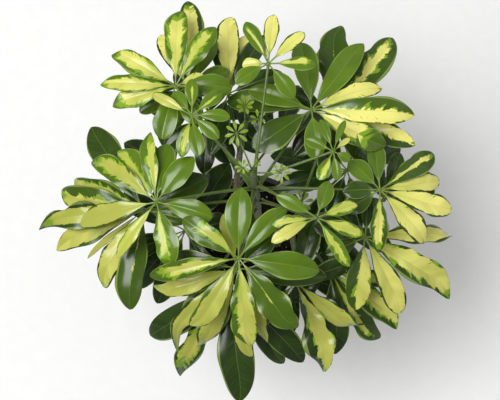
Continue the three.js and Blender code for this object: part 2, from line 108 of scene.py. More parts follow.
def tinted(tree, share, first, second):
    """Colour between two others."""
    node = put(tree, "ShaderNodeMix", data_type="RGBA")
    for place, value in ((0, share), (6, first), (7, second)):
        wire(tree, node.inputs[place], value)
    return node.outputs[2]


def grain(tree, where, scale, detail=3.0, roughness=0.55):
    """Cloudy grain, 0 to 1, at so many grains a metre."""
    sockets = {"Vector": where, "Scale": scale, "Detail": detail, "Roughness": roughness}
    return put(tree, "ShaderNodeTexNoise", sockets).outputs["Fac"]


def relief(tree, skin, height, strength=1.0):
    """Raises the surface by a height in millimetres."""
    sockets = {"Height": height, "Strength": strength, "Distance": 0.001}
    wire(tree, skin.inputs["Normal"], put(tree, "ShaderNodeBump", sockets).outputs[0])


def new_finish(name, **fixed):
    """Material, its node tree, its shader and the place on the object, with its even values set."""
    material = bpy.data.materials.new(name)
    material.use_nodes = True
    tree = material.node_tree
    skin = tree.nodes["Principled BSDF"]
    for key, value in fixed.items():
        skin.inputs[key.replace("_", " ")].default_value = value
    where = put(tree, "ShaderNodeTexCoord").outputs["Object"]
    return material, tree, skin, where


def moulded_plastic():
    """Dark grey polypropylene: faintly grained, with scuffs and pale marks left by hard water."""
    material, tree, skin, where = new_finish("moulded plastic")
    cloud = grain(tree, where, 45)
    height = put(tree, "ShaderNodeSeparateXYZ", {"Vector": where}).outputs["Z"]
    low_down = fade(tree, height, 0.05, 0.0, 0.15, 0.75)
    marks = calc(tree, "MULTIPLY", fade(tree, grain(tree, where, 120, 5.0), 0.56, 0.74), low_down)
    body = tinted(tree, fade(tree, cloud, 0.3, 0.7), paint(38, 39, 38), paint(50, 51, 49))
    wire(tree, skin.inputs["Base Color"], tinted(tree, marks, body, paint(112, 110, 102)))
    wire(tree, skin.inputs["Roughness"], fade(tree, grain(tree, where, 300), 0.3, 0.7, 0.38, 0.6))
    relief(tree, skin, grain(tree, where, 2600, 2.0), 0.05)
    return material


def mesh_piece(name, points, faces, *materials):
    """Smooth piece from points in millimetres, which rides on the plant's one body."""
    mesh = bpy.data.meshes.new(name)
    mesh.from_pydata((np.asarray(points, float) / 1000).tolist(), [], faces)
    for material in materials:
        mesh.materials.append(material)
    mesh.shade_smooth()
    piece = bpy.data.objects.new(name, mesh)
    bpy.context.scene.collection.objects.link(piece)
    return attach(piece, "root")


def tube_faces(rings, around):
    """Faces over rings of points that follow each other, with a flat end at each end."""
    faces = [tuple(range(around - 1, -1, -1))]
    for ring in range(rings - 1):
        here = ring * around
        for side in range(around):
            turn = (side + 1) % around
            faces.append((here + side, here + turn, here + around + turn, here + around + side))
    faces.append(tuple(range((rings - 1) * around, rings * around)))
    return faces


def turned(profile, turns):
    """Points and faces of a closed outline of (radius, height), turned about Z."""
    angles = np.linspace(0, 2 * math.pi, turns, endpoint=False)
    radius, height = np.array(profile, float).T
    x = radius[:, None] * np.cos(angles)
    y = radius[:, None] * np.sin(angles)
    points = np.stack([x, y, np.repeat(height[:, None], turns, 1)], -1).reshape(-1, 3)
    return points, tube_faces(len(profile), turns)


def pot_inside(height):
    """Inner radius of the pot at a height."""
    return POT_BASE_RADIUS - POT_WALL + POT_TAPER * height / POT_HEIGHT


def pot_outside(height):
    """Outer radius of the pot at a height, without its collar."""
    return pot_inside(height) + POT_WALL


def rounded(corners, radius, steps=4):
    """Outline with each inner corner cut to a small round."""
    corners = [np.array(corner, float) for corner in corners]
    outline = [corners[0]]
    for before, corner, after in zip(corners, corners[1:], corners[2:]):
        reach = [min(radius, np.linalg.norm(end - corner) / 2.2) for end in (before, after)]
        start = corner + (before - corner) / np.linalg.norm(before - corner) * reach[0]
        end = corner + (after - corner) / np.linalg.norm(after - corner) * reach[1]
        for share in np.linspace(0, 1, steps + 1):
            rest = 1 - share
            outline.append(start * rest ** 2 + 2 * corner * share * rest + end * share ** 2)
    outline.append(corners[-1])
    return outline


def drilled(pot):
    """Mesh of the pot with its ring of drain holes cut out."""
    low, high = DRILL_REACH
    side = [(NEAR_AXIS, low), (DRAIN_RADIUS, low), (DRAIN_RADIUS, high), (NEAR_AXIS, high)]
    drills = []
    for hole in range(DRAINS):
        turn = math.radians(360 / DRAINS * hole)
        middle = np.array([DRAIN_RING * math.cos(turn), DRAIN_RING * math.sin(turn), 0])
        drill, drill_faces = turned(side, DRAIN_TURNS)
        drills.append(mesh_piece(f"drill_{hole}", drill + middle, drill_faces))
        cut = pot.modifiers.new("drain hole", "BOOLEAN")
        cut.operation = "DIFFERENCE"
        cut.object = drills[-1]
    cut_pot = pot.evaluated_get(bpy.context.evaluated_depsgraph_get())
    mesh = bpy.data.meshes.new_from_object(cut_pot)
    pot.modifiers.clear()
    for drill in drills:
        bpy.data.objects.remove(drill)
    return mesh


def make_pot():
    """Turned pot with its drain holes."""
    shoulder = POT_HEIGHT - POT_COLLAR
    points, faces = turned(rounded([
        (NEAR_AXIS, 0),
        (POT_BASE_RADIUS, 0),
        (pot_outside(shoulder - POT_STEP), shoulder - POT_STEP),
        (pot_outside(shoulder) + POT_STEP, shoulder),
        (pot_outside(POT_HEIGHT) + POT_STEP, POT_HEIGHT - POT_ROLL),
        (POT_RIM_RADIUS, POT_HEIGHT - POT_ROLL + POT_LIP),
        (POT_RIM_RADIUS, POT_HEIGHT),
        (pot_inside(POT_HEIGHT), POT_HEIGHT),
        (pot_inside(POT_FLOOR), POT_FLOOR),
        (NEAR_AXIS, POT_FLOOR),
    ], POT_CORNER), POT_TURNS)
    pot = mesh_piece("round_pot", points, faces, moulded_plastic())
    pot.data = drilled(pot)
    pot.data.set_sharp_from_angle(angle=math.radians(POT_SHARP_ANGLE))
    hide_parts("pot")


make_pot()


# Soil: moist peaty potting mix, pressed down to 18 mm below the rim and domed towards the stems.
# Crumbs of peat, chips of bark and white grains of perlite lie in its surface.

SOIL_EDGE = 107
SOIL_CROWN = 6
SOIL_BUMP = 1.2
SOIL_UNDERSIDE = POT_FLOOR + 0.3
SOIL_CLEARANCE = 0.33
SOIL_RINGS = 56
SOIL_TURNS = 168
GRAIN_MARGIN = 4
GRAIN_RISE = 0.15


def soil_surface(x, y):
    """Height of the soil's surface."""
    share = 1 - math.hypot(x, y) / pot_inside(SOIL_EDGE)
    broad = math.sin(0.13 * x + 1) * math.cos(0.17 * y) + math.sin(0.31 * (x + y)) / 2
    fine = noise.noise(Vector((x, y, 3)) * 0.35) + 0.5 * noise.noise(Vector((x, y, 7)) * 0.9)
    dome = SOIL_CROWN * math.sin(share * math.pi / 2)
    return SOIL_EDGE + dome + min(1, 5 * share) * (SOIL_BUMP * broad + fine)


def potting_mix(name, deep, pale, scale):
    """Crumbly matt stuff between two tones."""
    material, tree, skin, where = new_finish(name, Roughness=0.95, Specular_IOR_Level=0.2)
    tone = fade(tree, grain(tree, where, scale, 6.0, 0.7), 0.35, 0.68)
    wire(tree, skin.inputs["Base Color"], tinted(tree, tone, deep, pale))
    relief(tree, skin, grain(tree, where, 2.5 * scale, 4.0, 0.7), 0.8)
    return material


def scattered(name, count, sizes, flatness, material, seed):
    """Rough grains that lie half sunk in the soil, as one piece."""
    rng = np.random.default_rng(seed)
    bpy.ops.mesh.primitive_ico_sphere_add(subdivisions=2, radius=1)
    pattern = bpy.context.object
    corners = np.array([v.co for v in pattern.data.vertices])
    triangles = [tuple(p.vertices) for p in pattern.data.polygons]
    bpy.data.objects.remove(pattern)
    points, faces = [], []
    for number in range(count):
        radius = (pot_inside(SOIL_EDGE) - GRAIN_MARGIN) * math.sqrt(rng.random())
        turn = rng.uniform(0, 2 * math.pi)
        x, y = radius * math.cos(turn), radius * math.sin(turn)
        size = rng.uniform(*sizes)
        axes = np.linalg.qr(rng.normal(size=(3, 3)))[0]
        length, width = rng.uniform(0.8, 1.5), rng.uniform(0.6, 1.0)
        stretch = np.array([length, width, flatness * rng.uniform(0.7, 1.2)])
        bulges = np.sin(corners @ rng.normal(size=(3, 3)) * 2.4).sum(1, keepdims=True)
        shape = (corners * (1 + 0.11 * bulges) * stretch * size) @ axes
        faces += [tuple(number * len(corners) + corner for corner in face) for face in triangles]
        points.append(shape + [x, y, soil_surface(x, y) + GRAIN_RISE * size])
    return mesh_piece(name, np.concatenate(points), faces, material)


def make_soil():
    """Domed soil that fills the pot, and three kinds of grain strewn on it."""
    foot, edge = (pot_inside(height) - SOIL_CLEARANCE for height in (POT_FLOOR, SOIL_EDGE))
    outline = [(NEAR_AXIS, SOIL_UNDERSIDE), (foot, SOIL_UNDERSIDE)]
    outline += [(edge * share, SOIL_EDGE) for share in np.linspace(1, 0.002, SOIL_RINGS)]
    points, faces = turned(outline, SOIL_TURNS)
    top = points[:, 2] >= SOIL_EDGE
    points[top, 2] = [soil_surface(x, y) for x, y, _ in points[top]]
    peat = potting_mix("moist peat", paint(20, 16, 14), paint(46, 36, 28), 700)
    soil = mesh_piece("potting_soil", points, faces, peat)
    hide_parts("soil")
    bark = potting_mix("bark chips", paint(42, 30, 22), paint(78, 59, 42), 400)
    white = potting_mix("perlite", paint(196, 192, 182), paint(236, 234, 228), 500)
    for name, count, sizes, flatness, material, seed in (
            ("peat_crumbs", 620, (0.7, 2.6), 0.8, peat, 11),
            ("bark_chips", 70, (1.8, 4.2), 0.3, bark, 12),
            ("perlite_grains", 90, (0.7, 1.7), 0.9, white, 13)):
        scattered(name, count, sizes, flatness, material, seed)


make_soil()


# Stems: three slender young trunks, rooted well down in the soil. Their smooth bark is greyish
# tan low down and green above, ringed by the scars of fallen leaves and dotted with pale pores.

STEM_FOOT = 70
STEMS = {
    "main": dict(foot=(2, -1), top=(0, 0, 425), sway=(4, -3), radii=(5.5, 4)),
    "back": dict(foot=(-16, 22), top=(-8, 60, 392), sway=(-6, -4), radii=(4.5, 3.2)),
    "front": dict(foot=(24, -16), top=(45, -23, 314), sway=(3, 4), radii=(4.2, 3)),
}
STEM_RINGS = 240
STEM_TURNS = 28
BARK_INSET = 0.1
SMOOTH_TOP = 8
SCARLESS_FOOT = 45
SCARLESS_TOP = 12
SCAR_SPACING = 17
SCAR_DRIFT = 3
SCAR_SWELL = 0.45
SCAR_WIDTH = 1.1
SCAR_LINE_RISE = 0.9
SCAR_LINE_WIDTH = 0.55
SCARS_AT_MOST = 50


def stem_point(stem, height):
    """Middle of a stem at a height."""
    up = (height - STEM_FOOT) / (stem["top"][2] - STEM_FOOT)
    flat = [low + (high - low) * up + sway * math.sin(math.pi * up)
            for low, high, sway in zip(stem["foot"], stem["top"], stem["sway"])]
    return np.array([*flat, height])


def stem_radius(stem, height):
    """Radius of a stem at a height."""
    up = (height - STEM_FOOT) / (stem["top"][2] - STEM_FOOT)
    return stem["radii"][0] + (stem["radii"][1] - stem["radii"][0]) * up


def young_bark():
    """Thin bark: tan and dotted with pores below, green and smooth towards the tip."""
    material, tree, skin, where = new_finish("young bark")
    height = put(tree, "ShaderNodeSeparateXYZ", {"Vector": where}).outputs["Z"]
    drift = calc(tree, "MULTIPLY_ADD", grain(tree, where, 40), 0.16, -0.08)
    green_above = fade(tree, calc(tree, "ADD", height, drift), 0.2, 0.36)
    drawn_out = put(tree, "ShaderNodeMapping", {"Vector": where, "Scale": (1.0, 1.0, 0.18)})
    streak = fade(tree, grain(tree, drawn_out.outputs[0], 620, 4.0), 0.35, 0.7)
    old = tinted(tree, streak, paint(96, 82, 58), paint(142, 126, 94))
    young = tinted(tree, streak, paint(62, 82, 30), paint(88, 108, 44))
    bark = tinted(tree, green_above, old, young)
    dots = put(tree, "ShaderNodeTexVoronoi", {"Vector": where, "Scale": 420.0}).outputs["Distance"]
    pores = fade(tree, dots, 0.24, 0.12)
    shown = fade(tree, green_above, 0.0, 1.0, 0.6, 0.1)
    bark = tinted(tree, calc(tree, "MULTIPLY", pores, shown), bark, paint(176, 164, 128))
    scar = put(tree, "ShaderNodeAttribute", attribute_name="scar").outputs["Fac"]
    bark = tinted(tree, calc(tree, "MULTIPLY", scar, 0.75), bark, paint(78, 62, 42))
    wire(tree, skin.inputs["Base Color"], bark)
    wire(tree, skin.inputs["Roughness"], fade(tree, green_above, 0.0, 1.0, 0.82, 0.5))
    relief(tree, skin, calc(tree, "MULTIPLY_ADD", pores, 0.3, streak), 0.25)
    return material


def level_circle(around):
    """Angles of so many points on a level circle with a radius of 1, and the points."""
    turns = np.linspace(0, 2 * math.pi, around, endpoint=False)
    return turns, np.stack([np.cos(turns), np.sin(turns), 0 * turns], 1)


def make_stems():
    """The three trunks, lumpy, ringed with scars and a little bent."""
    bark = young_bark()
    turns, circle = level_circle(STEM_TURNS)
    for name, stem in STEMS.items():
        rng = np.random.default_rng(list(name.encode()))
        top = stem["top"][2]
        spaced = np.arange(STEM_FOOT + SCARLESS_FOOT, top - SCARLESS_TOP, SCAR_SPACING)
        scars = spaced + rng.uniform(-SCAR_DRIFT, SCAR_DRIFT, SCARS_AT_MOST)[:len(spaced)]
        facing = rng.uniform(0, 2 * math.pi, len(scars))
        lean = 0.65 + 0.35 * np.cos(turns[:, None] - facing)
        points, marks = [], []
        for height in np.linspace(STEM_FOOT, top, STEM_RINGS):
            near = np.exp(-((height - scars) / SCAR_WIDTH) ** 2)
            swell = (near * lean).sum(1) * SCAR_SWELL
            lumps = 0.12 * math.sin(height * 0.21) + 0.1 * np.sin(2 * turns + height * 0.05)
            radius = stem_radius(stem, height) - BARK_INSET + swell
            radius = radius + lumps * (height < top - SMOOTH_TOP)
            points.append(stem_point(stem, height) + radius[:, None] * circle)
            line = np.exp(-((height - scars - SCAR_LINE_RISE) / SCAR_LINE_WIDTH) ** 2)
            marks.append((line * lean).sum(1))
        faces = tube_faces(STEM_RINGS, STEM_TURNS)
        piece = mesh_piece(f"{name}_stem", np.concatenate(points), faces, bark)
        scar = piece.data.attributes.new("scar", "FLOAT", "POINT")
        scar.data.foreach_set("value", np.concatenate(marks))
        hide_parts(f"stem_{name}")


make_stems()


# Young leaves, the four highest. An umbrella leaf is a slim stalk that ends in a small knob, with
# leaflets round it like the ribs of an umbrella; these are still small, thin and pale. Each stalk
# grows out of the bark of its stem.

STALK_RADIUS = 1.25
STALK_TAPER = 0.3
STALK_FLARE = 1.0
STALK_GAP = 0.3
STALK_SINK = 1.2
KNOB_RADIUS = 2.4
KNOB_HEIGHT = 3.4
STALKLET_LENGTH = 9
STALKLET_WIDTH = 1.5
BLADE_THICKNESS = 0.55
BLADE_ROWS = 24
BLADE_FOLD = (0.04, 0.18)
BLADE_SWELLING = (0.03, 0.08)
BLADE_SIDE = [1, 0.95, 0.82, 0.63, 0.42, 0.2, 0.07]
BLADE_COLUMNS = np.array([*BLADE_SIDE, 0, *(-place for place in reversed(BLADE_SIDE))])
TIP_BLUNTNESS = (0.58, 0.78)
SLIM_TIP_BLUNTNESS = (0.52, 0.7)
CURL_START = 0.7
CURLS = (0.01, 0.03, 0.07)
HOOK_START = 0.72
HOOK_REACH = 0.06
HOOKS = (-1, -0.3, 0, 0.3, 1)
TWIST_START = 0.55
UP = np.array([0, 0, 1.0])
# Skins of a leaf, in the order of its materials
BLADE = 0
STALK = 1

# Colouring of a leaflet. D is deep green and the usual kind, G fresh green, Y yellow but for a thin
# broken rim, and N the lime of the smallest leaves. V is green and yellow, L the same with a
# lighter green, and C the same on a crumpled leaflet: their three numbers are how far the yellow
# reaches to the left and to the right of the midrib, as shares of the half width, and how far it
# runs towards the tip, as a share of the length. DEPTHS says how deep the green is at a height of
# 380 mm: -1 is lime, 0 is fresh and 1.25 is deep. It grows by 1 over the next 200 mm down, partly
# as the older leaves' own deeper green and partly as painted shade on the lower leaves.
DEPTHS = {"G": 0.4, "D": 0.9, "Y": 1.0, "V": 0.75, "L": 0.4, "C": 0.95, "N": -0.8}
DEPTH_LEVEL = 380
DEPTH_AND_SHADE_DROP = 200
# How much a leaflet waves and curls, and how far its tip is twisted, in radians
LIVELINESS = {"G": 0.4, "D": 0.4, "Y": 1.0, "V": 1.0, "L": 1.0, "C": 2.2, "N": 0.4}
TIP_TWIST = {"C": 1.1}
ALL_GREEN = (-1, -1, 0)
ALL_YELLOW = (0.87, 0.87, 1)
CALM_EDGE = 0.45
YOUNGEST_GREEN = paint(126, 150, 40)
FRESH_GREEN = paint(91, 121, 20)
DEEP_GREEN = paint(23, 41, 11)
CLOUD_GREEN = paint(58, 89, 16)
VEIN_GREEN = paint(124, 150, 60)
LIME_GREEN = paint(136, 174, 34)
CREAM = paint(232, 227, 124)
# Olive that the yellow turns to, partly as random tone and partly as painted shade
TONE_AND_SHADE_OLIVE = paint(165, 169, 73)
YOUNG_CREAM = paint(188, 202, 76)
# Painted shade: darker olive yellow at a blade's foot, by the hub
SHADED_FOOT_CREAM = paint(168, 178, 76)
VEIN_CREAM = paint(186, 196, 88)
# Pale clear rim: partly the margin's own colour, partly painted light shining through the edge
RIM_AND_EDGE_LIGHT_GREEN = paint(150, 172, 86)
MIDRIB_GREEN = paint(140, 160, 66)
STALKLET_GREEN = paint(112, 134, 50)
UNDERSIDE_GREEN = paint(122, 142, 84)


def leaf_mark(tree, name):
    """The three numbers that a leaf's skin carries under a name."""
    mark = put(tree, "ShaderNodeAttribute", attribute_name=name).outputs["Vector"]
    return put(tree, "ShaderNodeSeparateXYZ", {"Vector": mark}).outputs


def leaf_skin():
    """Waxy leaf: green in two tones, splashed with yellow out to steps along its side veins."""
    material, tree, skin, _ = new_finish(
        "leaf skin", Coat_Weight=0.7, Coat_Roughness=0.23, Coat_IOR=1.5, Specular_IOR_Level=0.0)
    along, across, half = leaf_mark(tree, "place")
    # The depth of green carries painted shade: it deepens on leaves that sit lower
    share, under, depth_and_shade = leaf_mark(tree, "blade")
    gold_left, gold_right, gold_end = leaf_mark(tree, "gold")
    # tan is painted shade: it dulls the yellow of leaves towards the plant's front and left to
    # olive
    seed, wild, tan = leaf_mark(tree, "own")
    away = calc(tree, "ABSOLUTE", across)
    outward = calc(tree, "DIVIDE", away, calc(tree, "MAXIMUM", half, 0.5))
    left = calc(tree, "GREATER_THAN", across, 0.0)

    # Side veins leave the midrib and bend forward: all points of one vein share this number. The
    # other number keeps the two sides of a leaflet, and all leaflets, apart from each other.
    bent = calc(tree, "MULTIPLY", away, calc(tree, "MULTIPLY_ADD", outward, 0.3, 0.65))
    vein = calc(tree, "SUBTRACT", along, bent)
    row = calc(tree, "MULTIPLY_ADD", left, 31.0, calc(tree, "MULTIPLY", seed, 57.0))

    def spot(step, shift, outwards=0.0):
        """Point in a pattern of so many millimetres a step. The shift sets patterns apart."""
        sockets = {"X": calc(tree, "DIVIDE", vein, step), "Y": calc(tree, "ADD", row, shift)}
        return put(tree, "ShaderNodeCombineXYZ", {**sockets, "Z": outwards}).outputs[0]

    def draws(where):
        """Three random numbers for each cell of a pattern."""
        sockets = {"Vector": where, "Scale": 1.0}
        cell = put(tree, "ShaderNodeTexVoronoi", sockets, voronoi_dimensions="2D")
        return put(tree, "ShaderNodeSeparateColor", {"Color": cell.outputs["Color"]}).outputs

    def fields(step, shift):
        """Random number for each field between side veins, about a step wide."""
        return calc(tree, "SUBTRACT", draws(spot(step, shift))[0], 0.5)

    def clouds(step, shift, stretch=2.0):
        """Soft change from vein to vein, drawn out along them, different on the two sides."""
        outwards = calc(tree, "DIVIDE", away, stretch * step)
        sockets = {"Vector": spot(step, shift, outwards), "Scale": 1.0, "Detail": 2.0}
        cloud = put(tree, "ShaderNodeTexNoise", sockets).outputs["Fac"]
        return calc(tree, "SUBTRACT", cloud, 0.5)

    # Yellow: broken off in steps at its edge, with a paler green zone between it and the deep green
    wider = calc(tree, "SUBTRACT", gold_left, gold_right)
    side = calc(tree, "MULTIPLY_ADD", left, wider, gold_right)
    small_steps = calc(tree, "MULTIPLY", fields(1.7, 3.0), 0.08)
    steps = calc(tree, "MULTIPLY_ADD", fields(5.5, 0.0), 0.25, small_steps)
    ragged = calc(tree, "MULTIPLY_ADD", clouds(15.0, 5.0), 0.9, steps)
    reach = calc(tree, "MULTIPLY_ADD", ragged, wild, side)
    short = calc(tree, "SUBTRACT", outward, reach)
    late = calc(tree, "SUBTRACT", share, calc(tree, "MULTIPLY_ADD", ragged, 0.35, gold_end))
    gold = calc(tree, "MULTIPLY", fade(tree, short, 0.02, -0.02), fade(tree, late, 0.02, -0.02))
    patches = calc(tree, "MULTIPLY_ADD", fields(4.0, 9.0), 0.18, 0.14)
    zone = calc(tree, "MULTIPLY_ADD", clouds(7.0, 11.0), 1.3, patches)
    zone = calc(tree, "MULTIPLY", zone, fade(tree, wild, CALM_EDGE, 1.0))
    lime = calc(tree, "MULTIPLY",
                fade(tree, calc(tree, "SUBTRACT", short, zone), 0.04, -0.04),
                fade(tree, calc(tree, "SUBTRACT", late, 0.1), 0.03, -0.03))

    # Greens: lime in the youngest leaves, fresh above, deep low down, the deepening partly painted
    # shade
    fresh = tinted(tree, fade(tree, depth_and_shade, -1.0, 0.0), YOUNGEST_GREEN, FRESH_GREEN)
    green = tinted(tree, fade(tree, depth_and_shade, 0.0, 1.25), fresh, DEEP_GREEN)
    tone = calc(tree, "MULTIPLY_ADD", clouds(24.0, 14.0), 1.6, 0.5)
    cloudy = calc(tree, "MULTIPLY", fade(tree, tone, 0.2, 0.9), 0.4)
    green = tinted(tree, cloudy, green, CLOUD_GREEN)
    streaks = clouds(1.5, 17.0, 9.0)
    veined = fade(tree, streaks, 0.02, 0.3)
    green = tinted(tree, calc(tree, "MULTIPLY", veined, 0.14), green, VEIN_GREEN)
    middle_green = tinted(tree, 0.7, green, LIME_GREEN)

    # Yellows: cream to olive, partly by random tone and partly as painted shade on leaves towards
    # the plant's front and left; greener in young leaves; greener and darker at a blade's foot,
    # which is painted shade by the hub; flecked with green
    tone_and_shade = fade(tree, calc(tree, "ADD", tone, tan), 0.2, 1.6)
    cream = tinted(tree, tone_and_shade, CREAM, TONE_AND_SHADE_OLIVE)
    cream = tinted(tree, fade(tree, depth_and_shade, 0.5, 0.1, 0.0, 0.5), cream, YOUNG_CREAM)
    # Painted shade: the yellow darkens to olive towards the blade's foot
    cream = tinted(tree, fade(tree, along, 45.0, 0.0, 0.0, 0.55), cream, SHADED_FOOT_CREAM)
    cream = tinted(tree, calc(tree, "MULTIPLY", veined, 0.3), cream, VEIN_CREAM)
    dash = draws(spot(1.3, calc(tree, "DIVIDE", away, 2.4)))[1]
    flecks = calc(tree, "MULTIPLY", fade(tree, dash, 0.97, 0.975), fade(tree, outward, 0.4, 0.7))
    cream = tinted(tree, flecks, cream, middle_green)
    colour = tinted(tree, lime, green, middle_green)
    colour = tinted(tree, gold, colour, cream)

    # Pale seams: the clear rim, pale partly in its own colour and partly as painted light through
    # the edge, the midrib, and the stalklet below the blade
    edge = fade(tree, outward, 0.93, 0.97)
    rim_and_edge_light = calc(tree, "MULTIPLY", edge, fade(tree, short, 0.15, 0.4, 0.0, 0.5))
    colour = tinted(tree, rim_and_edge_light, colour, RIM_AND_EDGE_LIGHT_GREEN)
    rib_width = calc(tree, "MULTIPLY_ADD", share, -0.4, 0.6)
    rib = fade(tree, calc(tree, "SUBTRACT", away, rib_width), 0.15, -0.15)
    colour = tinted(tree, calc(tree, "MULTIPLY", rib, 0.25), colour, MIDRIB_GREEN)
    colour = tinted(tree, fade(tree, along, 7.0, -1.0), colour, STALKLET_GREEN)
    beneath = tinted(tree, 0.55, colour, UNDERSIDE_GREEN)
    wire(tree, skin.inputs["Base Color"], tinted(tree, under, colour, beneath))

    wax = fade(tree, clouds(6.0, 33.0), -0.25, 0.25, 0.38, 0.52)
    wire(tree, skin.inputs["Roughness"], calc(tree, "MULTIPLY_ADD", under, 0.22, wax))
    ripple = calc(tree, "MULTIPLY", clouds(3.4, 41.0, 5.0), 0.3)
    relief(tree, skin, calc(tree, "MULTIPLY_ADD", streaks, 0.25, ripple), 0.8)
    return material


def stalk_skin():
    """Smooth pale green stalk, clouded and flecked darker."""
    material, tree, skin, where = new_finish("stalk skin", Roughness=0.38)
    cloud = fade(tree, grain(tree, where, 90), 0.3, 0.7)
    fleck = fade(tree, grain(tree, where, 900, 4.0), 0.55, 0.75, 0.0, 0.4)
    colour = tinted(tree, cloud, paint(68, 88, 27), paint(92, 112, 40))
    wire(tree, skin.inputs["Base Color"], tinted(tree, fleck, colour, paint(58, 76, 26)))
    relief(tree, skin, grain(tree, where, 1400, 2.0), 0.08)
    return material


def heading(degrees):
    """Level direction, counted anticlockwise from +X."""
    return np.array([math.cos(math.radians(degrees)), math.sin(math.radians(degrees)), 0])


def near_tip(share, start):
    """Number along a leaflet that is 0 up to a start and grows to 1 at the tip."""
    return np.clip((share - start) / (1 - start), 0, 1)


class Growth:
    """Skin of one leaf or growing tip while it grows, with the marks that its colouring needs."""

    def __init__(self):
        self.points, self.faces, self.skins = [], [], []
        self.marks = {"place": [], "blade": [], "gold": [], "own": []}
        self.count = 0

    def add(self, rings, skin, **marks):
        """Closes a skin over rings of points."""
        size, around = rings.shape[:2]
        faces = tube_faces(size, around)
        self.faces += [tuple(self.count + corner for corner in face) for face in faces]
        self.skins += [skin] * len(faces)
        self.points.append(rings.reshape(-1, 3))
        for name, kept in self.marks.items():
            kept.append(np.broadcast_to(marks.get(name, 0.0), (size, around, 3)).reshape(-1, 3))
        self.count += size * around

    def piece(self, name, node, slot, *materials):
        """The finished piece, which takes the place of a node."""
        piece = mesh_piece(name, np.concatenate(self.points), self.faces, *materials)
        piece.data.polygons.foreach_set("material_index", self.skins)
        for mark, kept in self.marks.items():
            layer = piece.data.attributes.new(mark, "FLOAT_VECTOR", "POINT")
            layer.data.foreach_set("vector", np.concatenate(kept).ravel().astype(np.float32))
        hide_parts(node)


